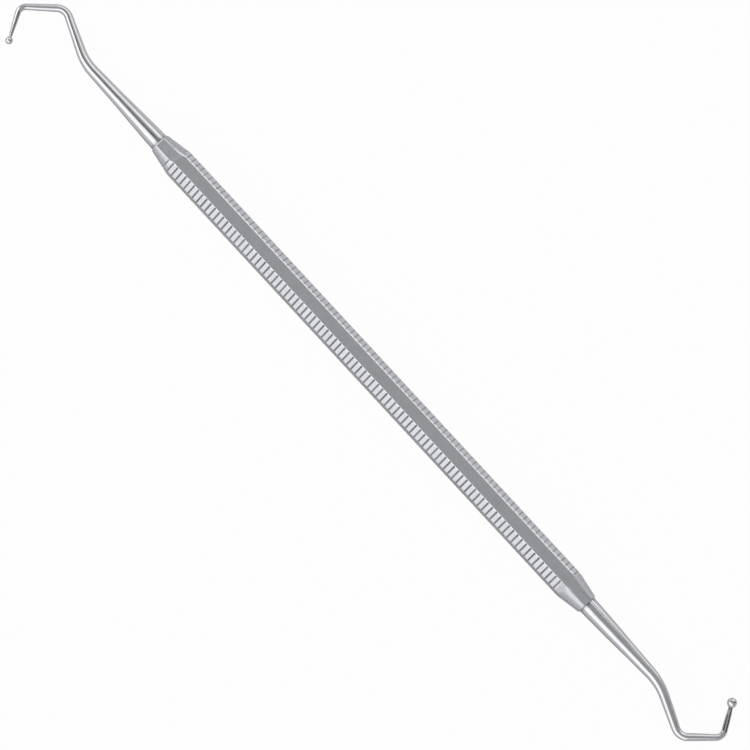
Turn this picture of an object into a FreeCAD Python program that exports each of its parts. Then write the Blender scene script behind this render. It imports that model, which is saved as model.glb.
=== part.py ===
import FreeCAD, Part
import math
import os

# Double-ended ball burnisher, millimetres.
# X runs along the handle towards the large ball, Z is up.
# The handle lies on one of its plain faces, and both shanks bend in the level plane of its axis.

os.makedirs("parts", exist_ok=True)

# Handle: an octagonal bar whose ends are turned down to a lip
handle_length = 102.0
across_flats = 4.9
lip_diameter = 3.76            # where the end cone would meet the end face
cone_angle = 9.6               # degrees, half angle of the end cones
lip_across_flats = 3.5         # the four plain faces slope in to this size at the lip
flat_angle = 10.0              # degrees, slope of those end facets
lip_bevel = 0.25

# Serration: straight cross grooves on the four faces at 45 degrees, each row cut by itself
groove_pitch = 1.0
groove_width = 0.36            # at the face
groove_depth = 0.16            # at the bottom of the V
serration_start = 3.4          # small end lip to the first groove
serration_end = 4.8            # least distance from the last groove to the large end lip
row_shifts = {45: 0.0, 135: 0.35, 225: 0.1, 315: -0.27}   # by face, in degrees from +Z towards -Y

# Sockets and the tangs that fill them
tang_diameter = 2.2
tang_length = 10.0
socket_clearance = 0.02        # on the radius
socket_bottom = 0.3            # free space past the end of the tang

# Shanks: straight tapered runs between three bends, each bend of one diameter
root_diameter = 3.15           # on the lip of the handle
knee_diameter = 1.7
elbow_diameter = 1.34
hook_diameter = 1.05

bend_diameters = {"root": knee_diameter, "slope": elbow_diameter, "cross": hook_diameter}

# Each end: run lengths from corner to corner of the centre line, and the bend that closes each run
small_end = {
    "runs": {"root": 18.1, "slope": 9.6, "cross": 7.5, "tip": 6.05},
    "turns": {"root": -23.3, "slope": 69.4, "cross": 75.0},      # degrees
    "radii": {"root": 10.0, "slope": 2.2, "cross": 1.45},        # of the centre line
    "neck_diameter": 0.52,
    "ball_diameter": 1.25,
}
large_end = {
    "runs": {"root": 17.1, "slope": 9.15, "cross": 7.1, "tip": 5.87},
    "turns": {"root": -24.0, "slope": 71.0, "cross": 74.2},
    "radii": {"root": 11.0, "slope": 2.0, "cross": 1.5},
    "neck_diameter": 0.66,
    "ball_diameter": 1.6,
}

# Cutting tools reach this far past the metal
overrun = 1.0
groove_overrun = 0.1

axis_height = across_flats / 2
half_length = handle_length / 2
along = FreeCAD.Vector(1, 0, 0)
centre = FreeCAD.Vector(0, 0, 0)


def point(x, y, z=0.0):
    return FreeCAD.Vector(x, y, z)


def face_from(points):
    """Flat face inside a closed run of straight edges."""
    return Part.Face(Part.makePolygon(points + [points[0]]))


def corner_radius():
    """From the axis to a corner of the octagon."""
    return across_flats / 2 / math.cos(math.radians(22.5))


def octagonal_bar():
    """Prism with plain faces square to Y and Z, centred on the X axis."""
    corner = corner_radius()
    ring = []
    for turn in range(8):
        angle = math.radians(22.5 + 45 * turn)
        ring.append(point(-half_length, corner * math.cos(angle), corner * math.sin(angle)))
    return face_from(ring).extrude(along * handle_length)


def turned_envelope():
    """Solid of revolution that gives the end cones and their bevelled lips."""
    slope = math.tan(math.radians(cone_angle))
    lip = lip_diameter / 2
    clear_of_corners = corner_radius() + overrun
    inner = half_length - (clear_of_corners - lip) / slope
    half_profile = [
        point(half_length, 0),
        point(half_length, lip - lip_bevel),
        point(half_length - lip_bevel, lip + lip_bevel * slope),
        point(inner, clear_of_corners),
    ]
    other_half = [point(-place.x, place.y) for place in reversed(half_profile)]
    return face_from(half_profile + other_half).revolve(centre, along, 360)


def facet_cutters():
    """Wedges that slope the four plain faces in towards both lips."""
    slope = math.tan(math.radians(flat_angle))
    outside = corner_radius() + overrun
    at_lip = lip_across_flats / 2
    run_in = (outside - at_lip) / slope
    wedge = face_from([
        point(half_length + overrun, -outside, at_lip - overrun * slope),
        point(half_length - run_in, -outside, outside),
        point(half_length + overrun, -outside, outside),
    ]).extrude(point(0, 2 * outside))
    mirrored = wedge.mirror(centre, along)
    cutters = []
    for quarter in range(4):
        for side in (wedge, mirrored):
            cutter = side.copy()
            cutter.rotate(centre, along, 90 * quarter)
            cutters.append(cutter)
    return cutters


def groove_cutters():
    """One V bar per groove, lying across its face."""
    face = across_flats / 2
    half_top = groove_width / 2 * (groove_depth + groove_overrun) / groove_depth
    section = face_from([
        point(0, -face, face - groove_depth),
        point(half_top, -face, face + groove_overrun),
        point(-half_top, -face, face + groove_overrun),
    ])
    bar = section.extrude(point(0, across_flats))
    cutters = []
    for face_angle, shift in row_shifts.items():
        first = serration_start + shift
        count = 1 + int((handle_length - serration_end - first) / groove_pitch)
        for index in range(count):
            cutter = bar.copy()
            cutter.translate(along * (first + index * groove_pitch - half_length))
            cutter.rotate(centre, along, face_angle)
            cutters.append(cutter)
    return cutters


def sockets():
    """Blind round holes, one in each end face."""
    radius = tang_diameter / 2 + socket_clearance
    depth = tang_length + socket_bottom
    return [
        Part.makeCylinder(radius, depth + overrun, point(-half_length - overrun, 0), along),
        Part.makeCylinder(radius, depth + overrun, point(half_length + overrun, 0), -along),
    ]


def make_handle():
    """Octagonal bar, turned, faceted and bored, then serrated."""
    blank = octagonal_bar().common(turned_envelope())
    blank = blank.cut(facet_cutters() + sockets())
    return blank.cut(groove_cutters())


def straight_run(start, direction, length, start_diameter, end_diameter):
    return Part.makeCone(start_diameter / 2, end_diameter / 2, length, start, direction)


def bend(start, direction, pivot, angle, diameter):
    """Round bar of one diameter, turned about its pivot by a signed angle in degrees."""
    section = Part.Face(Part.Wire(Part.makeCircle(diameter / 2, start, direction)))
    side = math.copysign(1, angle)
    return section.revolve(pivot, point(0, 0, side), abs(angle))


def turned(vector, angle):
    """Vector in the bend plane, turned about Z by an angle in degrees."""
    return FreeCAD.Rotation(point(0, 0, 1), angle).multVec(vector)


def bent_shank(end):
    """Tapered runs and bends from the lip to the last bend, then the tip run with its ball."""
    direction = along
    start = centre
    diameter = root_diameter
    used = 0.0                 # part of the run that the bend before it takes up
    solids = []
    for run, length in end["runs"].items():
        if run == "tip":
            solids.append(ball_tip(start, direction, length - used, diameter, end))
            break
        turn = end["turns"][run]
        radius = end["radii"][run]
        setback = radius * math.tan(math.radians(abs(turn)) / 2)
        straight = length - used - setback
        next_diameter = bend_diameters[run]
        solids.append(straight_run(start, direction, straight, diameter, next_diameter))
        start = start + direction * straight
        pivot = start + turned(direction, math.copysign(90, turn)) * radius
        solids.append(bend(start, direction, pivot, turn, next_diameter))
        start = pivot + turned(start - pivot, turn)
        direction = turned(direction, turn)
        diameter = next_diameter
        used = setback
    return solids


def ball_tip(start, direction, length, diameter, end):
    """Last run and its ball, turned as one form. Length is to the ball's centre."""
    ball = end["ball_diameter"] / 2
    neck = end["neck_diameter"] / 2
    neck_end = point(length - math.sqrt(ball ** 2 - neck ** 2), neck)
    crown = point(length, ball)
    pole = point(length + ball, 0)
    outline = Part.Wire([
        Part.LineSegment(centre, point(0, diameter / 2)).toShape(),
        Part.LineSegment(point(0, diameter / 2), neck_end).toShape(),
        Part.Arc(neck_end, crown, pole).toShape(),
        Part.LineSegment(pole, centre).toShape(),
    ])
    tip = Part.Face(outline).revolve(centre, along, 360)
    tip.Placement = FreeCAD.Placement(start, FreeCAD.Rotation(along, direction))
    return tip


def make_working_end(end):
    """Tang, bent shank, neck and ball, all one piece."""
    tang = Part.makeCylinder(tang_diameter / 2, tang_length, centre, -along)
    return tang.multiFuse(bent_shank(end))


nodes = {
    "handle": make_handle(),
    "small_ball_end": make_working_end(small_end),
    "large_ball_end": make_working_end(large_end),
}

# Each working end moves out to its lip, and the small one turns half round to the far end
up = point(0, 0, 1)
nodes["small_ball_end"].Placement = FreeCAD.Placement(point(-half_length, 0), FreeCAD.Rotation(up, 180))
nodes["large_ball_end"].Placement = FreeCAD.Placement(point(half_length, 0), FreeCAD.Rotation())

for name, shape in nodes.items():
    shape.translate(up * axis_height)
    solid = shape.Solids[0]
    solid.exportStep("parts/" + name + ".step")
    print(name, "solids", len(shape.Solids), "valid", solid.isValid(), "volume", round(solid.Volume, 3))
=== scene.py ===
import math
import bpy
import numpy as np
from mathutils import Matrix, Vector


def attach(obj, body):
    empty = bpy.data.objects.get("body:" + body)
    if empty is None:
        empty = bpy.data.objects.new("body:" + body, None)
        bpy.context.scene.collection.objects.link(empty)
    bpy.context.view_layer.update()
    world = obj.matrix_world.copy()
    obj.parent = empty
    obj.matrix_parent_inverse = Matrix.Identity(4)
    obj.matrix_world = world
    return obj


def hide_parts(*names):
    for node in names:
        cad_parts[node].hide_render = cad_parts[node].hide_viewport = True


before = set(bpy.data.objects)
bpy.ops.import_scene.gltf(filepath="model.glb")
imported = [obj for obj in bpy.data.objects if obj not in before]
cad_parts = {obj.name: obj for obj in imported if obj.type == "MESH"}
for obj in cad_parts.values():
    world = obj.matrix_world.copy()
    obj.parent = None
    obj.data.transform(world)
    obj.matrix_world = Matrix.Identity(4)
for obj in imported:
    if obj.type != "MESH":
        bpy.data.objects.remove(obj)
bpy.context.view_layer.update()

mm = 0.001

# Double-ended ball burnisher. X runs along the handle towards the large ball, Z is up.
# Angles around the handle are counted from +Z towards -Y.


def smoothRamp(values, low, high):
    # 0 below low, 1 above high, and an S curve between them
    t = np.clip((values - low) / (high - low), 0, 1)
    return t * t * (3 - 2 * t)


def meshFromGrid(name, points, material, startPole, endPole, masks):
    # Rows of points around the X axis or a path become a closed skin: each row joins the next,
    # the last column joins the first, and a fan of triangles closes each end at its pole.
    rows, columns = points.shape[:2]
    here = np.arange(rows * columns).reshape(rows, columns)
    beside = np.roll(here, -1, axis=1)
    quads = np.stack([here[:-1], beside[:-1], beside[1:], here[1:]], axis=-1).reshape(-1, 4)
    first, last = rows * columns, rows * columns + 1
    startFan = np.stack([beside[0], here[0], np.full(columns, first)], axis=-1)
    endFan = np.stack([here[-1], beside[-1], np.full(columns, last)], axis=-1)
    vertices = np.vstack([points.reshape(-1, 3), startPole, endPole])
    mesh = bpy.data.meshes.new(name)
    mesh.from_pydata(vertices.tolist(), [], quads.tolist() + startFan.tolist() + endFan.tolist())
    mesh.polygons.foreach_set("use_smooth", np.ones(len(mesh.polygons), dtype=bool))
    for maskName, values in masks.items():
        # A mask holds one number or one vector for each point
        kind = "FLOAT_VECTOR" if values.ndim == 3 else "FLOAT"
        layer = mesh.attributes.new(maskName, kind, "POINT")
        whole = values.reshape(rows * columns, -1)
        whole = np.vstack([whole, whole[0], whole[-1]])
        layer.data.foreach_set("vector" if values.ndim == 3 else "value", whole.ravel().astype(np.float32))
    mesh.materials.append(material)
    mesh.update()
    piece = bpy.data.objects.new(name, mesh)
    bpy.context.collection.objects.link(piece)
    return piece


def newGroup(name, inputs, outputs):
    group = bpy.data.node_groups.new(name, "ShaderNodeTree")
    for label, kind, value in inputs:
        socket = group.interface.new_socket(label, in_out="INPUT", socket_type=kind)
        if value is not None:
            socket.default_value = value
    for label, kind in outputs:
        group.interface.new_socket(label, in_out="OUTPUT", socket_type=kind)
    return group, group.nodes.new("NodeGroupInput"), group.nodes.new("NodeGroupOutput")


def addNode(tree, kind, **settings):
    node = tree.nodes.new(kind)
    for key, value in settings.items():
        setattr(node, key, value)
    return node


def giveInput(tree, socket, value):
    # Sets a number, or links a socket
    if isinstance(value, (int, float)):
        socket.default_value = value
    else:
        tree.links.new(value, socket)


def addMath(tree, operation, first, second):
    node = addNode(tree, "ShaderNodeMath", operation=operation)
    giveInput(tree, node.inputs[0], first)
    giveInput(tree, node.inputs[1], second)
    return node.outputs[0]


def addRamp(tree, value, start, end, low=0.0, high=1.0, smooth=False):
    # Takes start..end to low..high and holds beyond them
    node = addNode(tree, "ShaderNodeMapRange", interpolation_type="SMOOTHSTEP" if smooth else "LINEAR")
    labels = ("Value", "From Min", "From Max", "To Min", "To Max")
    for label, given in zip(labels, (value, start, end, low, high)):
        giveInput(tree, node.inputs[label], given)
    return node.outputs[0]


def scaled(tree, value, low, high):
    return addRamp(tree, value, 0.0, 1.0, low, high)


def addNoise(tree, place, scale, detail, roughness=0.5):
    node = addNode(tree, "ShaderNodeTexNoise")
    giveInput(tree, node.inputs["Vector"], place)
    giveInput(tree, node.inputs["Scale"], scale)
    giveInput(tree, node.inputs["Detail"], detail)
    giveInput(tree, node.inputs["Roughness"], roughness)
    return node.outputs[0]


def addBump(tree, height, depth, normal=None):
    node = addNode(tree, "ShaderNodeBump")
    node.inputs["Distance"].default_value = depth
    tree.links.new(height, node.inputs["Height"])
    if normal is not None:
        tree.links.new(normal, node.inputs["Normal"])
    return node.outputs[0]


def mixColours(tree, mask, first, second):
    # First colour where the mask is 0, second where it is 1; each is a colour or a socket
    node = addNode(tree, "ShaderNodeMix", data_type="RGBA")
    tree.links.new(mask, node.inputs["Factor"])
    # A Mix node's colours are its inputs 6 and 7 and its output 2
    for value, socket in ((first, node.inputs[6]), (second, node.inputs[7])):
        if isinstance(value, tuple):
            socket.default_value = value + (1,)
        else:
            tree.links.new(value, socket)
    return node.outputs[2]


def readMask(tree, name):
    return addNode(tree, "ShaderNodeAttribute", attribute_name=name).outputs["Fac"]


def placeGroup(tree, group, place, values):
    node = addNode(tree, "ShaderNodeGroup", node_tree=group)
    tree.links.new(place, node.inputs["Place"])
    for label, value in values.items():
        node.inputs[label].default_value = value
    return node


def makeGrainGroup():
    # Fine lines left by polishing: noise drawn out along the steel, with a few deeper scratches
    # where a coarser noise peaks
    group, given, result = newGroup("polishingGrain", [
        ("Place", "NodeSocketVector", None),
        ("Lines per metre", "NodeSocketFloat", 9000.0),
        ("Stretch", "NodeSocketFloat", 0.02),
        ("Scratches", "NodeSocketFloat", 0.3),
    ], [("Lines", "NodeSocketFloat"), ("Height", "NodeSocketFloat")])
    stretch = addNode(group, "ShaderNodeCombineXYZ")
    for axis, value in (("X", given.outputs["Stretch"]), ("Y", 1.0), ("Z", 1.0)):
        giveInput(group, stretch.inputs[axis], value)
    drawn = addNode(group, "ShaderNodeVectorMath", operation="MULTIPLY")
    group.links.new(given.outputs["Place"], drawn.inputs[0])
    group.links.new(stretch.outputs[0], drawn.inputs[1])
    lines = given.outputs["Lines per metre"]
    fewer = addMath(group, "MULTIPLY", lines, 0.23)      # scratches for each line
    fine = addNoise(group, drawn.outputs[0], lines, detail=3, roughness=0.65)
    coarse = addNoise(group, drawn.outputs[0], fewer, detail=1)
    peaks = addRamp(group, coarse, start=0.66, end=0.76)
    cut = addMath(group, "MULTIPLY", peaks, given.outputs["Scratches"])
    group.links.new(fine, result.inputs["Lines"])
    group.links.new(addMath(group, "SUBTRACT", fine, cut), result.inputs["Height"])
    return group


def makeHandlingGroup():
    # Soft patches from handling: a mask of slow blotches with a few small specks
    group, given, result = newGroup("handlingMarks", [
        ("Place", "NodeSocketVector", None),
        ("Patches per metre", "NodeSocketFloat", 160.0),
        ("Specks", "NodeSocketFloat", 0.2),
    ], [("Mask", "NodeSocketFloat")])
    place, scale = given.outputs["Place"], given.outputs["Patches per metre"]
    finer = addMath(group, "MULTIPLY", scale, 16)        # specks for each patch
    patches = addNoise(group, place, scale, detail=4, roughness=0.55)
    patches = addRamp(group, patches, start=0.35, end=0.7)
    specks = addRamp(group, addNoise(group, place, finer, detail=2), start=0.68, end=0.74)
    specks = addMath(group, "MULTIPLY", specks, given.outputs["Specks"])
    total = addMath(group, "ADD", patches, specks)
    group.links.new(addMath(group, "MINIMUM", total, 1.0), result.inputs["Mask"])
    return group


def newSteel(name):
    material = bpy.data.materials.new(name)
    material.use_nodes = True
    shader = material.node_tree.nodes["Principled BSDF"]
    shader.inputs["Metallic"].default_value = 1
    return material, material.node_tree, shader


grainGroup = makeGrainGroup()
handlingGroup = makeHandlingGroup()

handleSteelLook = {
    "plain": (0.645, 0.652, 0.690),
    "marked": (0.600, 0.607, 0.645),
    "polished": (0.70, 0.705, 0.735),     # worn corners
    "roughness": (0.18, 0.30),
    "grain": {"Lines per metre": 14000.0, "Stretch": 0.03, "Scratches": 0.5},
    "grainDepth": 0.0000012,
    "marks": {"Patches per metre": 480.0, "Specks": 0.3},
    "groove": (0.13, 0.132, 0.141),       # steel in the shade of a groove
    "grooveShade": (0.55, 1.35),          # the shade differs from patch to patch, between these
    "grooveChange": 420.0,                # patches per metre
    "grooveRoughness": 0.45,
    "turned": (0.565, 0.572, 0.605),      # fine rings left by the lathe on the tapered ends
    "turnedRoughness": 0.45,
    "turnedStretch": 0.8,
    "turnedDirection": 0.25,              # a quarter turn from the rings
}


def makeHandleSteel(look):
    material, tree, shader = newSteel("handleSteel")
    place = addNode(tree, "ShaderNodeTexCoord").outputs["Object"]
    corner, groove, turned = (readMask(tree, name) for name in ("corner", "groove", "turned"))
    grain = placeGroup(tree, grainGroup, place, look["grain"])
    marks = placeGroup(tree, handlingGroup, place, look["marks"])
    shade = scaled(tree, addNoise(tree, place, look["grooveChange"], detail=2), *look["grooveShade"])

    colour = mixColours(tree, marks.outputs["Mask"], look["plain"], look["marked"])
    colour = mixColours(tree, corner, colour, look["polished"])
    colour = mixColours(tree, addMath(tree, "MULTIPLY", groove, shade), colour, look["groove"])
    colour = mixColours(tree, turned, colour, look["turned"])
    tree.links.new(colour, shader.inputs["Base Color"])

    smoothest = look["roughness"][0]
    rough = scaled(tree, grain.outputs["Lines"], *look["roughness"])
    rough = addMath(tree, "ADD", rough, scaled(tree, groove, 0, look["grooveRoughness"] - smoothest))
    rough = addMath(tree, "MAXIMUM", rough, scaled(tree, turned, 0, look["turnedRoughness"]))
    tree.links.new(rough, shader.inputs["Roughness"])
    # Rings round the X axis spread what they reflect along X
    rings = addNode(tree, "ShaderNodeTangent", direction_type="RADIAL", axis="X")
    tree.links.new(rings.outputs[0], shader.inputs["Tangent"])
    tree.links.new(scaled(tree, turned, 0, look["turnedStretch"]), shader.inputs["Anisotropic"])
    shader.inputs["Anisotropic Rotation"].default_value = look["turnedDirection"]
    tree.links.new(addBump(tree, grain.outputs["Height"], look["grainDepth"]), shader.inputs["Normal"])
    return material


workingSteelLook = {
    "plain": (0.630, 0.635, 0.660),
    "marked": (0.585, 0.590, 0.615),
    "roughness": (0.06, 0.13),
    "markedRoughness": (0.85, 1.35),      # the same, times this, from clean to marked
    "grain": {"Lines per metre": 11000.0, "Stretch": 0.06, "Scratches": 0.3},
    "grainDepth": 0.0000004,
    "marks": {"Patches per metre": 420.0, "Specks": 0.4},
    "waveDepth": 0.00001,                 # hand polishing leaves the wire faintly uneven
    "seamShade": (0.10, 0.10, 0.11),           # painted shade where the shank enters the handle
}


def makeWorkingSteel(look):
    material, tree, shader = newSteel("workingEndSteel")
    place = addNode(tree, "ShaderNodeAttribute", attribute_name="unbent").outputs["Vector"]
    grain = placeGroup(tree, grainGroup, place, look["grain"])
    marks = placeGroup(tree, handlingGroup, place, look["marks"])

    colour = mixColours(tree, marks.outputs["Mask"], look["plain"], look["marked"])
    # Painted shade: a near-black line on the wire where the shank enters the handle
    colour = mixColours(tree, readMask(tree, "seamShade"), colour, look["seamShade"])
    tree.links.new(colour, shader.inputs["Base Color"])
    lines = scaled(tree, grain.outputs["Lines"], *look["roughness"])
    marked = scaled(tree, marks.outputs["Mask"], *look["markedRoughness"])
    tree.links.new(addMath(tree, "MULTIPLY", lines, marked), shader.inputs["Roughness"])
    wave = addBump(tree, marks.outputs["Mask"], look["waveDepth"])
    relief = addBump(tree, grain.outputs["Height"], look["grainDepth"], wave)
    tree.links.new(relief, shader.inputs["Normal"])
    return material


handleSteel = makeHandleSteel(handleSteelLook)
workingSteel = makeWorkingSteel(workingSteelLook)
print("materials are made")

# Faces 0, 2, 4 and 6 of the handle are plain and 1, 3, 5 and 7 are serrated; face 0 is the top.
# Rows of grooves are counted from face 1, and corner 0 lies between faces 0 and 1.
handle = {
    "length": 102.0 * mm,
    "acrossFlats": 4.9 * mm,
    "sharpness": 260,                # power of the rounding at every edge; higher is sharper
    "rowRises": (0, 0, 0, 0.15 * mm),     # how much further out each serrated face lies
    # Width of the bevel along each corner, on the bar and where the ends are turned down
    "bevels": tuple(width * mm for width in (0.03, 0.03, 0.03, 0.30, 0.03, 0.03, 0.16, 0.30)),
    "taperBevels": tuple(width * mm for width in (0.12, 0.12, 0.12, 0.24, 0.12, 0.12, 0.12, 0.24)),
    "blend": 0.2 * mm,               # over which the cones and the bar's corners blend

    "lipDiameter": 3.76 * mm,
    "coneAngle": 9.6,                # degrees
    "lipAcrossFlats": (3.38 * mm, 3.52 * mm),   # small end, large end
    "flatAngle": 10.0,               # degrees
    "taperTurn": 4.0,                # degrees; the tapers' flats sit this far round, towards -Y
    "turnDrop": 0.15 * mm,           # the turn is full where a flat has sloped down this much
    "lipRound": (0.26 * mm, 0.16 * mm),         # along the handle, and across it

    "pitch": 1.0 * mm,
    "grooveWidth": 0.36 * mm,
    "grooveDepths": (0.16 * mm, 0.14 * mm, 0.15 * mm, 0.12 * mm),
    "grooveRound": 0.02 * mm,        # at the bottom of the V
    "grooveSoftness": 0.008,         # where the V meets the land; higher is softer
    "serrationStart": 3.4 * mm,
    "serrationEnd": 4.8 * mm,
    "rowShifts": (0.0, 0.35 * mm, 0.1 * mm, -0.27 * mm),
    # Grooves run out between these two lines, counted from the corner with face 0 or 4
    "runOuts": ((-0.2 * mm, 0.25 * mm), (0, 0.55 * mm), (-0.2 * mm, 0.25 * mm), (0, 0.55 * mm)),
    "runOutReach": 28.0,             # degrees either way from the middle of a serrated face

    "socketRadius": 1.12 * mm,
    "socketDepth": 10.3 * mm,
    # Rows of points from the end face down to the bottom, in shares of the depth and the radius
    "socketRows": ((0, 1.25), (0, 1.0), (0.03, 1.0), (1.0, 1.0), (1.0, 0.5)),

    # Rows of points: in shares of a pitch from the groove, and counted at the lips and tapers
    "rowsInPitch": (-0.5, -0.25, -0.2, -0.16, -0.04, 0.04, 0.16, 0.2, 0.25),
    "lipRows": 8,
    "taperRows": (14, 16),
    # Columns: away from a corner with a wide bevel or from a sharp one, and between corners
    "wideBevel": 0.2 * mm,
    "bevelColumns": np.array([0.21, 0.165, 0.13, 0.055]) * mm,
    "sharpColumns": np.array([0.21, 0.10, 0.045, 0.016]) * mm,
    "plainShares": np.array([0.25, 0.5, 0.75]),
    "serratedShares": np.array([0.07, 0.15, 0.25, 0.45, 0.72]),

    # Masks for the steel
    "turnedFrom": (0.2 * mm, 0.4 * mm),    # past the first or the last groove
    "grooveEdge": (0.02, 0.45),      # the shade comes in over these shares of the depth
    "wornEdge": (0.0, 0.3),          # and the worn corners end over these
    "wornFrom": 3.0 * mm,            # corners are fully worn this far from the lip
}


def grooveRow(row, size):
    # Where a row's first groove lies, and how many it has
    first = size["serrationStart"] + size["rowShifts"][row] - size["length"] / 2
    room = size["length"] / 2 - size["serrationEnd"] - first
    return first, 1 + math.floor(room / size["pitch"])


def grooveShape(x, row, size):
    # 1 at the bottom of each V, 0 on the lands: one minus the distance to the nearest groove over
    # half its width, rounded at the bottom and where it meets the land
    first, count = grooveRow(row, size)
    index = np.clip(np.round((x - first) / size["pitch"]), 0, count - 1)
    away = np.hypot(x - first - index * size["pitch"], size["grooveRound"])
    depth = 1 - away / (size["grooveWidth"] / 2)
    return (depth + np.sqrt(depth * depth + size["grooveSoftness"])) / 2


def cornerFaces(corner):
    # A corner's plain face, its serrated face, and the side of the plain face it is on
    if corner % 2 == 0:
        return corner, corner + 1, 1
    return corner + 1, corner, -1


def sideReach(plain, far):
    # Across a plain face, from its middle to the corner it has with a serrated face
    return (far - plain * math.cos(math.pi / 4)) / math.sin(math.pi / 4)


def pickSheet(stack, index):
    # For each column, the sheet of the stack that its index names
    return np.take_along_axis(stack, np.broadcast_to(index, stack.shape[1:])[None], axis=0)[0]


def handleStations(size):
    # Rows along X, and how far each one follows the stagger of the grooves: fully in the middle
    # and not at all at the lips
    half, pitch, lip = size["length"] / 2, size["pitch"], size["lipRound"][0]
    serrated = size["length"] - size["serrationStart"] - size["serrationEnd"]
    grooves = size["serrationStart"] - half + np.arange(math.ceil(serrated / pitch) + 1) * pitch
    middle = (grooves[:, None] + np.array(size["rowsInPitch"]) * pitch).ravel()
    roundRows = lip * (1 - np.cos(np.linspace(0, math.pi / 2, size["lipRows"])))
    startTaper = np.linspace(-half + lip, middle[0], size["taperRows"][0])[1:-1]
    endTaper = np.linspace(middle[-1], half - lip, size["taperRows"][1])[1:-1]
    stations = np.concatenate([-half + roundRows, startTaper, middle, endTaper, half - roundRows[::-1]])
    follow = smoothRamp(stations, -half + lip, middle[0])
    return stations, follow * (1 - smoothRamp(stations, middle[-1], half - lip))


def handleColumns(size):
    # Each column belongs to a corner. It stands at an offset from it, which on the tapers is
    # another one than on the bar, or at a share of the way to the next corner. On a serrated face
    # the columns stand closer where the grooves run out.
    shifts = size["rowShifts"]
    tapered = size["bevelColumns"]
    columns = {"corner": [], "share": [], "offset": [], "taperOffset": [], "shift": []}
    for corner in range(8):
        plainFace, serratedFace, side = cornerFaces(corner)
        shift = nextShift = shifts[serratedFace // 2]
        if side < 0:
            inner = size["plainShares"]
            nextShift = shifts[(plainFace + 1) % 8 // 2]
        elif serratedFace in (1, 5):
            inner = size["serratedShares"]
        else:
            inner = 1 - size["serratedShares"][::-1]
        near = tapered if size["bevels"][corner] > size["wideBevel"] else size["sharpColumns"]
        columns["corner"] += [corner] * (2 * len(near) + len(inner))
        columns["share"] += [0.0] * 2 * len(near) + list(inner)
        columns["offset"] += [*-near, *near[::-1]] + [0.0] * len(inner)
        columns["taperOffset"] += [*-tapered, *tapered[::-1]] + [0.0] * len(inner)
        columns["shift"] += [shift] * 2 * len(near) + list(shift + (nextShift - shift) * inner)
    return {key: np.array(values) for key, values in columns.items()}


def handleForms(x, size):
    # What bounds the section at each point, as distances from the axis: the cone and the plain
    # faces rise evenly from the lip, the faces up to the bar's own, and the serrated faces are
    # lowered by their grooves
    flat = size["acrossFlats"] / 2
    fromLip = size["length"] / 2 - np.abs(x)
    cone = size["lipDiameter"] / 2 + fromLip * math.tan(math.radians(size["coneAngle"]))
    lipFlat = np.where(x < 0, *size["lipAcrossFlats"]) / 2
    plain = np.minimum(flat, lipFlat + fromLip * math.tan(math.radians(size["flatAngle"])))
    cuts = np.stack([grooveShape(x, row, size) for row in range(4)])
    return {
        "fromLip": fromLip,
        "cone": cone,
        "plain": plain,
        "serrated": [flat + rise for rise in size["rowRises"]],
        "cuts": cuts,
        "depths": cuts * np.array(size["grooveDepths"])[:, None, None],
        # Across a plain face, from its middle to the cone
        "coneSide": np.sqrt(np.clip(cone ** 2 - plain ** 2, 1e-12, None)),
        # The flats turn only where they have sloped down, so no corner rises above the bar
        "turn": math.radians(size["taperTurn"]) * smoothRamp(flat - plain, 0, size["turnDrop"]),
    }


def columnAngles(columns, forms, size):
    # The corners move with the grooves and the tapers, and the columns go with them. Returns
    # each point's angle, and how far from its corner it is: 0 at the corner, 1 at the first and
    # last column of those that stand near it.
    plain, coneSide = forms["plain"], forms["coneSide"]
    corners = []
    for corner in range(9):
        # A plain face meets its serrated neighbour or the cone, whichever comes first. Only at
        # the two side faces do the grooves cut through the corner.
        plainFace, serratedFace, side = cornerFaces(corner)
        row = serratedFace % 8 // 2
        cut = forms["depths"][row] if plainFace % 4 == 2 else 0
        across = np.minimum(sideReach(plain, forms["serrated"][row] - cut), coneSide)
        corners.append(math.radians(45 * plainFace) + forms["turn"] + side * np.arctan2(across, plain))
    corners = np.stack(corners)
    own = pickSheet(corners, columns["corner"])
    following = pickSheet(corners, columns["corner"] + 1)

    barSide = sideReach(plain, size["acrossFlats"] / 2)
    onBar = smoothRamp(coneSide - barSide, 0, size["blend"])
    cornerRadius = np.hypot(np.minimum(barSide, coneSide), plain)
    reach = size["bevelColumns"][0] / cornerRadius
    between = own + reach + (following - own - 2 * reach) * columns["share"]
    offset = columns["taperOffset"] + (columns["offset"] - columns["taperOffset"]) * onBar
    offset = offset / cornerRadius
    return np.where(columns["share"] > 0, between, own + offset), np.abs(offset) / reach


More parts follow.
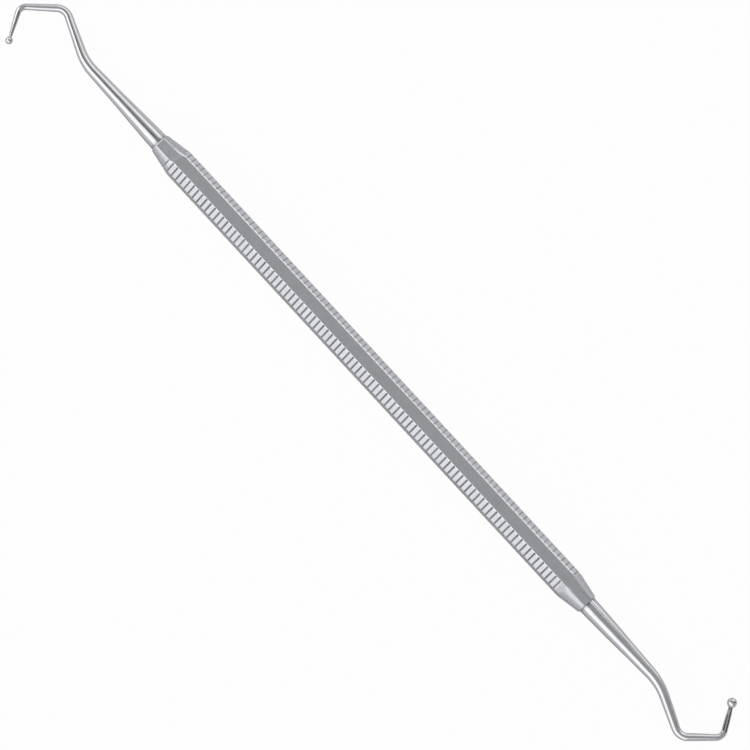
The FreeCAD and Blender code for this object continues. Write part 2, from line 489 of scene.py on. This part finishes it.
def sectionRadius(angle, forms, size):
    # Adding up powers of one over each distance takes the nearest bound and rounds every edge a
    # little. Returns the radius, the cone's share in it, and how fully the grooves are cut.
    flat, power = size["acrossFlats"] / 2, size["sharpness"]
    plain, coneSide = forms["plain"], forms["coneSide"]
    onCone = (flat / forms["cone"]) ** power
    total = onCone
    fullness = np.ones_like(angle)
    for face in range(8):
        serrated, row = face % 2 == 1, face // 2
        normal = math.radians(45 * face) + (0 if serrated else forms["turn"])
        fromNormal = np.mod(angle - normal + math.pi, 2 * math.pi) - math.pi
        distance = plain
        if serrated:
            # Across the face, from the corner that it has with face 0 or 4
            towards = -1 if face in (1, 5) else 1
            across = flat * (math.tan(math.pi / 8) - towards * np.tan(np.clip(fromNormal, -1, 1)))
            onFace = smoothRamp(across, *size["runOuts"][row])
            distance = forms["serrated"][row] - forms["depths"][row] * onFace
            fullness = np.where(np.abs(fromNormal) < math.radians(size["runOutReach"]), onFace, fullness)
        total = total + (np.clip(np.cos(fromNormal), 0, None) * flat / distance) ** power
    for corner in range(8):
        # Each bevel halves the angle between the plain face and its neighbour, before any groove
        plainFace, serratedFace, side = cornerFaces(corner)
        barSide = sideReach(plain, forms["serrated"][serratedFace // 2])
        onBar = smoothRamp(coneSide - barSide, 0, size["blend"])
        cornerTurn = np.arctan2(np.minimum(barSide, coneSide), plain)
        lean = (cornerTurn + (math.pi / 4 - cornerTurn) * onBar) / 2
        sharp = plain / np.cos(cornerTurn) * np.cos(cornerTurn - lean)
        width = size["taperBevels"][corner] * (1 - onBar) + size["bevels"][corner] * onBar
        bevel = sharp - width / 2 * np.tan(lean)
        fromBevel = angle - math.radians(45 * plainFace) - forms["turn"] - side * lean
        total = total + (np.clip(np.cos(fromBevel), 0, None) * flat / bevel) ** power
    radius = flat * total ** (-1 / power)

    # The lip is a quarter of an ellipse, the same all round
    along, across = size["lipRound"]
    rounding = np.clip(1 - forms["fromLip"] / along, 0, 1)
    return radius - across * (1 - np.sqrt(1 - rounding * rounding)), onCone / total, fullness


def steelMasks(x, columns, forms, fromCorner, coneShare, fullness, size):
    # Where the steel is worn, in a groove's shade, or as the lathe left it
    faces = np.array([cornerFaces(corner) for corner in columns["corner"]])
    row, side = faces[:, 1] // 2, faces[:, 2]
    onCorner = columns["share"] == 0
    onSerrated = np.where(onCorner, columns["offset"] * side > 0, side > 0)

    firsts, counts = np.array([grooveRow(which, size) for which in range(4)]).T
    lasts = firsts + (counts - 1) * size["pitch"]
    pastGrooves = np.maximum(firsts[row] - x, x - lasts[row])
    cut = pickSheet(forms["cuts"], row) * fullness
    strength = np.array(size["grooveDepths"])[row] / max(size["grooveDepths"])
    worn = np.where(onCorner, 1 - fromCorner, 0.0) * smoothRamp(forms["fromLip"], 0, size["wornFrom"])
    return {
        "corner": worn * (1 - smoothRamp(cut, *size["wornEdge"])),
        "groove": np.where(onSerrated, smoothRamp(cut, *size["grooveEdge"]) * strength ** 2, 0),
        "turned": np.maximum(coneShare, onSerrated * smoothRamp(pastGrooves, *size["turnedFrom"])),
    }


def handleSkin(size):
    # Each row is a section across the handle: an octagon, cut by a bevel at each corner and by the
    # cone of its end. Each serrated face shifts its rows along X, so that they fall on its grooves.
    # Returns place along X, angle and radius for each point, and the masks.
    stations, follow = handleStations(size)
    columns = handleColumns(size)
    x = stations[:, None] + follow[:, None] * columns["shift"]
    forms = handleForms(x, size)
    angle, fromCorner = columnAngles(columns, forms, size)
    radius, coneShare, fullness = sectionRadius(angle, forms, size)
    masks = steelMasks(x, columns, forms, fromCorner, coneShare, fullness, size)
    return x, angle, radius, masks


def socketRows(rim, size, side):
    # Rows that turn in over the end face, run down the blind hole and reach its bottom
    depths, widths = np.array(size["socketRows"]).T
    places = (size["length"] / 2 - size["socketDepth"] * depths) * side
    radii = size["socketRadius"] * widths
    shape = (len(places), len(rim))
    return [np.broadcast_to(part, shape) for part in (places[:, None], rim, radii[:, None])]


def makeHandle(size):
    x, angle, radius, masks = handleSkin(size)
    start = [part[::-1] for part in socketRows(angle[0], size, -1)]
    end = socketRows(angle[-1], size, 1)
    x, angle, radius = [np.vstack(parts) for parts in zip(start, (x, angle, radius), end)]
    blank = np.zeros(end[0].shape)
    masks = {name: np.vstack([blank, mask, blank]) for name, mask in masks.items()}
    height = size["acrossFlats"] / 2
    points = np.stack([x, -radius * np.sin(angle), height + radius * np.cos(angle)], axis=-1)
    bottom = size["length"] / 2 - size["socketDepth"]
    piece = meshFromGrid("burnisherHandle", points, handleSteel,
                         (-bottom, 0, height), (bottom, 0, height), masks)
    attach(piece, "root")
    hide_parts("handle")


makeHandle(handle)
print("handle is made")

# The working ends are in millimetres. Runs go from corner to corner of the centre line, turns are
# in degrees, radii are the centre line's, and thickness is (distance along the wire, across).
smallEnd = {
    "runs": (18.1, 9.6, 7.5, 6.05),
    "turns": (-23.3, 69.4, 75.0),
    "radii": (10.0, 2.2, 1.45),
    "thickness": (
        (0, 3.15), (2, 3.07), (10, 2.34), (14, 2.10), (18, 1.81), (20, 1.65), (22, 1.55), (24, 1.46),
        (27, 1.34), (30, 1.23), (32, 1.15), (34, 1.05), (36, 0.92), (37.7, 0.78), (38.7, 0.66),
        (39.6, 0.54),
    ),
    "ball": 1.25,
}
largeEnd = {
    "runs": (17.1, 9.15, 7.1, 5.87),
    "turns": (-24.0, 71.0, 74.2),
    "radii": (11.0, 2.0, 1.5),
    "thickness": (
        (0, 3.15), (2, 3.04), (6.7, 2.71), (10.4, 2.32), (14, 2.04), (17.7, 1.72), (19.6, 1.64),
        (23.3, 1.50), (26, 1.33), (27, 1.31), (29, 1.24), (31, 1.13), (32.6, 1.03), (34.7, 0.99),
        (36.4, 0.90), (37.3, 0.75),
    ),
    "ball": 1.6,
}
wire = {
    "tangRadius": 1.1,
    "tangLength": 10.0,
    "tangBevel": 0.3,
    "tangEnd": (0.5, 0.8),    # rows of points on its end face, in shares of its radius
    "seatRound": 0.07,        # the small edge where the shank meets the lip
    "seamShadeWidth": 0.13,        # a dark line of painted shade that fades out over this length
    "averaged": 0.8,          # the thickness is averaged over this length either way
    "fillet": 3.2,            # how sharply the neck runs into the ball; higher is sharper
    "taperEnd": (0.75, 0.1),  # the taper fades out inside the ball, in ball radii from its centre
    "ballClearance": 0.003,   # keeps the true ball inside the facets of its solid
    "lineSteps": 20001,       # points on the centre line
    "columns": 56,            # points round the wire
    # Rows of points: how many, and where they stand
    "rows": {"seat": 5, "wire": 150, "bend": 34, "neck": 16, "ball": 44},
    "wireFrom": 0.6,          # from the lip
    "besideBend": 0.3,
    "neck": (2.2, 1.02),      # in ball radii from its centre
    "ballPoles": (0.2, 0.05),     # its first and last row, in radians from the poles
    "closest": 0.012,         # rows nearer than this to the one before are left out
}


def wireLine(end):
    # The direction turns evenly through each bend and holds still between bends; summing small
    # steps in that direction gives the centre line. Returns step, x, y, direction and the bends.
    runs, turns, radii = (np.array(end[key]) for key in ("runs", "turns", "radii"))
    setbacks = radii * np.tan(np.radians(np.abs(turns)) / 2)
    arcs = radii * np.radians(np.abs(turns))
    straights = runs - np.append(setbacks, 0) - np.append(0, setbacks)
    bendStarts = np.cumsum(straights[:-1]) + np.append(0, np.cumsum(arcs)[:-1])
    length = straights.sum() + arcs.sum()
    step = np.linspace(0, length, wire["lineSteps"])
    through = np.clip((step[:, None] - bendStarts) / arcs, 0, 1)
    heading = (through * np.radians(turns)).sum(axis=1)
    spacing = step[1] - step[0]
    middles = (heading[1:] + heading[:-1]) / 2
    x = np.append(0, np.cumsum(np.cos(middles))) * spacing
    y = np.append(0, np.cumsum(np.sin(middles))) * spacing
    return step, x, y, heading, np.stack([bendStarts, bendStarts + arcs], axis=-1)


def wireRadius(end, step):
    # Measured thicknesses joined by lines, then averaged so that the taper has no corners
    marks = np.array(end["thickness"])
    raw = np.interp(step, marks[:, 0], marks[:, 1]) / 2
    reach = int(wire["averaged"] / (step[1] - step[0]))
    window = np.hanning(2 * reach + 1)
    window = window / window.sum()
    padded = np.concatenate([2 * raw[0] - raw[reach:0:-1], raw, np.full(reach, raw[-1])])
    return np.convolve(padded, window, mode="valid")


def wireStations(bends, centre, ball):
    # Even along the wire, close together at the seat and in the bends, and by angle over the ball
    rows = wire["rows"]
    neckStart, neckEnd = (centre - ball * share for share in wire["neck"])
    ballStart, ballEnd = wire["ballPoles"]
    beside = wire["besideBend"]
    parts = [wire["seatRound"] * (1 - np.cos(np.linspace(0, math.pi / 2, rows["seat"])))]
    parts += [np.linspace(wire["wireFrom"], neckStart, rows["wire"])]
    parts += [np.linspace(start - beside, stop + beside, rows["bend"]) for start, stop in bends]
    parts += [np.linspace(neckStart, neckEnd, rows["neck"])]
    parts += [centre - ball * np.cos(np.linspace(ballStart, math.pi - ballEnd, rows["ball"]))]
    along = np.unique(np.round(np.concatenate(parts), 5))
    return along[np.append(True, np.diff(along) > wire["closest"])]


def endRadius(along, taper, centre, ball):
    # The taper and the ball are added by powers, which leaves a fillet between them
    fadeFrom, fadeTo = (centre - ball * share for share in wire["taperEnd"])
    taper = taper * (1 - smoothRamp(along, fadeFrom, fadeTo))
    sphere = np.sqrt(np.clip(ball ** 2 - (along - centre) ** 2, 0, None))
    power = wire["fillet"]
    radius = (taper ** power + sphere ** power) ** (1 / power)
    radius = np.where(along > fadeTo, sphere, radius)
    edge = wire["seatRound"]
    return radius - edge + np.sqrt(np.clip(edge ** 2 - (edge - np.minimum(along, edge)) ** 2, 0, None))


def makeWorkingEnd(name, node, end, side):
    # A circle stands square to the centre line at each station, as wide as the wire or the ball
    # is there
    step, lineX, lineY, heading, bends = wireLine(end)
    centre = step[-1]
    ball = end["ball"] / 2 - wire["ballClearance"]
    along = wireStations(bends, centre, ball)
    radius = endRadius(along, np.interp(along, step, wireRadius(end, step)), centre, ball)

    # Past the ball's centre the path runs straight on
    past = np.clip(along - centre, 0, None)
    pathX = np.interp(along, step, lineX) + past * math.cos(heading[-1])
    pathY = np.interp(along, step, lineY) + past * math.sin(heading[-1])
    turn = np.interp(along, step, heading)

    # The tang lies behind the lip, on the same line
    tang, bevel = wire["tangLength"], wire["tangBevel"]
    tangX = np.array([-tang, -tang, -tang + bevel, -bevel, 0.0])
    tangRadius = np.array([*wire["tangEnd"], 1.0, 1.0, 1.0]) * wire["tangRadius"]
    pathX = np.concatenate([tangX, pathX])
    pathY = np.concatenate([np.zeros(len(tangX)), pathY])
    turn = np.concatenate([np.zeros(len(tangX)), turn])
    radius = np.concatenate([tangRadius, radius])
    distance = np.concatenate([tangX, along])

    around = np.linspace(0, 2 * math.pi, wire["columns"], endpoint=False)
    across = -radius[:, None] * np.sin(around)
    x = pathX[:, None] - across * np.sin(turn)[:, None]
    y = pathY[:, None] + across * np.cos(turn)[:, None]
    z = radius[:, None] * np.cos(around)
    lipX, height = handle["length"] / 2, handle["acrossFlats"] / 2
    points = np.stack([side * (lipX + x * mm), side * y * mm, height + z * mm], axis=-1)
    tipX = side * (lipX + (lineX[-1] + ball * math.cos(heading[-1])) * mm)
    tipY = side * (lineY[-1] + ball * math.sin(heading[-1])) * mm

    # The steel's grain follows the wire as if it were straight
    unbent = np.stack([np.broadcast_to(distance[:, None], x.shape), across, z], axis=-1) * mm
    # A line of painted shade on the wire where the shank enters the handle
    seamShade = np.broadcast_to(1 - smoothRamp(distance, 0.0, wire["seamShadeWidth"])[:, None], x.shape)
    piece = meshFromGrid(name, points, workingSteel,
                         (side * (lipX - tang * mm), 0, height), (tipX, tipY, height),
                         {"unbent": unbent, "seamShade": seamShade})
    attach(piece, "root")
    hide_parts(node)


makeWorkingEnd("smallBallEnd", "small_ball_end", smallEnd, -1)
makeWorkingEnd("largeBallEnd", "large_ball_end", largeEnd, 1)
print("working ends are made")


def inDirection(distance, zenith, azimuth):
    # Point at an angle from straight up, turned from +X towards +Y
    up, around = math.radians(zenith), math.radians(azimuth)
    return (distance * math.sin(up) * math.cos(around), distance * math.sin(up) * math.sin(around),
            distance * math.cos(up))


studio = {
    "floor": (0.61, 0.61, 0.61),
    "floorRoughness": 0.9,
    "floorGloss": 0.1,
    "floorReach": 6.0,         # either way from the middle
    "floorSeen": 0.975,        # share of plain white in the floor, as the camera sees it
    "floorInSteel": 0.50,      # the same in what the steel reflects, so that its shadow shows there
    "shade": (3.6 * mm, 7.0 * mm),   # the steel sees no plain white this near, and all from this far
    "horizon": (0.92, 0.52),   # towards the small end, and towards the large one
    "horizonAxis": 22.0,       # degrees, from +X towards +Y
    "ceiling": 0.44,
    "ceilingCurve": 0.6,       # lower brings the ceiling's level in sooner above the horizon
    # Dark gaps between the lights: degrees from straight up, from +X towards +Y, and across
    "gaps": ((12.5, 196, 11), (31, 205, 18), (46, 199, 16), (62, 201, 16), (78, 202, 16),
             (42, 52, 22), (60, 48, 20), (78, 46, 20)),
    "gapLevel": 0.03,
    "gapEdge": 0.25,           # share of its half width by which a gap fades, in and out
    # Lamps: place, what it faces, width and height, power, and the share that fades at the edges.
    # The two cards stand just outside the picture: one lights the small end's tip, the other the
    # large end's cone.
    "lamps": {
        "softbox": (inDirection(0.9, 52, 271), (0, 0, 0), (2.4, 1.26), 10.1, (0.11, 0.32)),
        "strip": (inDirection(0.9, 49, 114), (0, 0, 0), (0.92, 0.76), 1.8, (0.18, 0.3)),
        "tipCard": ((-0.172, -0.015, 0.076), (-0.082, -0.004, 0.0025), (0.065, 0.10), 0.042, (0.2, 0.2)),
        "sideCard": ((0.058, 0.115, 0.040), (0.050, 0, 0.004), (0.085, 0.04), 0.011, (0.25, 0.25)),
    },
}


def makeFloor(look):
    mesh = bpy.data.meshes.new("floor")
    reach = look["floorReach"]
    corners = [(-reach, -reach, 0), (reach, -reach, 0), (reach, reach, 0), (-reach, reach, 0)]
    mesh.from_pydata(corners, [], [(0, 1, 2, 3)])
    floor = bpy.data.objects.new("floor", mesh)
    bpy.context.collection.objects.link(floor)
    material = bpy.data.materials.new("paleFloor")
    material.use_nodes = True
    tree = material.node_tree
    shader = tree.nodes["Principled BSDF"]
    shader.inputs["Base Color"].default_value = look["floor"] + (1,)
    shader.inputs["Roughness"].default_value = look["floorRoughness"]
    shader.inputs["Specular IOR Level"].default_value = look["floorGloss"]
    ray = addNode(tree, "ShaderNodeLightPath")
    bounced = addMath(tree, "MAXIMUM", ray.outputs["Is Glossy Ray"], ray.outputs["Is Transmission Ray"])
    # Close to the steel the floor is in its shade, so the steel sees less white there
    clear = addRamp(tree, ray.outputs["Ray Length"], *look["shade"], smooth=True)
    bounced = addMath(tree, "MULTIPLY", addMath(tree, "MULTIPLY", bounced, look["floorInSteel"]), clear)
    seen = addMath(tree, "MULTIPLY", ray.outputs["Is Camera Ray"], look["floorSeen"])
    glow = addNode(tree, "ShaderNodeEmission")
    mix = addNode(tree, "ShaderNodeMixShader")
    tree.links.new(addMath(tree, "MAXIMUM", seen, bounced), mix.inputs[0])
    tree.links.new(shader.outputs[0], mix.inputs[1])
    tree.links.new(glow.outputs[0], mix.inputs[2])
    tree.links.new(mix.outputs[0], tree.nodes["Material Output"].inputs["Surface"])
    mesh.materials.append(material)


def makeWorld(look):
    # Paler at the horizon than overhead, with dark gaps
    world = bpy.data.worlds.new("studio")
    bpy.context.scene.world = world
    world.use_nodes = True
    tree = world.node_tree
    direction = addNode(tree, "ShaderNodeTexCoord").outputs["Generated"]
    split = addNode(tree, "ShaderNodeSeparateXYZ")
    tree.links.new(direction, split.inputs[0])
    axis = math.radians(look["horizonAxis"])
    along = addMath(tree, "MULTIPLY", split.outputs["X"], math.cos(axis))
    across = addMath(tree, "MULTIPLY", split.outputs["Y"], math.sin(axis))
    horizon = addRamp(tree, addMath(tree, "ADD", along, across), -1.0, 1.0, *look["horizon"])
    height = addMath(tree, "POWER", addMath(tree, "MAXIMUM", split.outputs["Z"], 0.0), look["ceilingCurve"])
    level = scaled(tree, height, horizon, look["ceiling"])
    dark, edge = None, look["gapEdge"]
    for zenith, azimuth, width in look["gaps"]:
        toGap = addNode(tree, "ShaderNodeVectorMath", operation="DOT_PRODUCT")
        toGap.inputs[1].default_value = inDirection(1, zenith, azimuth)
        tree.links.new(direction, toGap.inputs[0])
        outer, inner = (math.radians(width) / 2 * (1 + share) for share in (edge, -edge))
        gap = addRamp(tree, toGap.outputs["Value"], math.cos(outer), math.cos(inner), smooth=True)
        dark = gap if dark is None else addMath(tree, "MAXIMUM", dark, gap)
    colour = mixColours(tree, dark, level, (look["gapLevel"],) * 3)
    tree.links.new(colour, tree.nodes["Background"].inputs["Color"])


def addLamp(name, place, target, size, power, softness):
    # An area lamp that is brightest in the middle and fades over a share of it towards each edge
    light = bpy.data.lights.new(name, "AREA")
    light.shape = "RECTANGLE"
    light.size, light.size_y = size
    light.energy = power
    light.use_nodes = True
    tree = light.node_tree
    split = addNode(tree, "ShaderNodeSeparateXYZ")
    tree.links.new(addNode(tree, "ShaderNodeNewGeometry").outputs["Parametric"], split.inputs[0])
    fades = []
    for axis, share in zip("XY", softness):
        fromMiddle = addMath(tree, "ABSOLUTE", addMath(tree, "SUBTRACT", split.outputs[axis], 0.5), 0)
        fades.append(addRamp(tree, fromMiddle, 0.5, 0.5 - share, smooth=True))
    tree.links.new(addMath(tree, "MULTIPLY", *fades), tree.nodes["Emission"].inputs["Strength"])
    lamp = bpy.data.objects.new(name, light)
    lamp.location = place
    lamp.rotation_euler = (Vector(target) - Vector(place)).to_track_quat("-Z", "Y").to_euler()
    bpy.context.collection.objects.link(lamp)


makeFloor(studio)
makeWorld(studio)
for lampName, settings in studio["lamps"].items():
    addLamp(lampName, *settings)

view = {
    "distance": 0.700,
    "target": (0.000660, 0.0000511, 0.0025),
    "lean": 5.0,              # degrees, towards +X
    "tilt": 12.096,           # degrees, towards -Y
    "roll": 47.184,           # degrees
    "focal": 4333.34,         # in pixels, of a picture 750 wide
    "picture": 750,
    "sensor": 36,             # its width in millimetres
    "nearest": 0.01,          # the camera sees nothing closer than this
}


def makeCamera(look):
    lean, tilt, roll = (math.radians(look[key]) for key in ("lean", "tilt", "roll"))
    toCamera = Vector((math.sin(lean), -math.sin(tilt) * math.cos(lean), math.cos(tilt) * math.cos(lean)))
    alongPicture = (Vector((1, 0, 0)) - toCamera * toCamera.x).normalized()
    acrossPicture = toCamera.cross(alongPicture)
    right = alongPicture * math.cos(roll) + acrossPicture * math.sin(roll)
    up = acrossPicture * math.cos(roll) - alongPicture * math.sin(roll)
    data = bpy.data.cameras.new("camera")
    data.sensor_width = look["sensor"]
    data.lens = look["focal"] / look["picture"] * look["sensor"]
    data.clip_start = look["nearest"]
    camera = bpy.data.objects.new("camera", data)
    turn = Matrix((right, up, toCamera)).transposed().to_4x4()
    camera.matrix_world = Matrix.Translation(Vector(look["target"]) + toCamera * look["distance"]) @ turn
    bpy.context.collection.objects.link(camera)
    bpy.context.scene.camera = camera


makeCamera(view)
bpy.context.scene.view_settings.view_transform = "Standard"
print("floor, lights and camera are set")
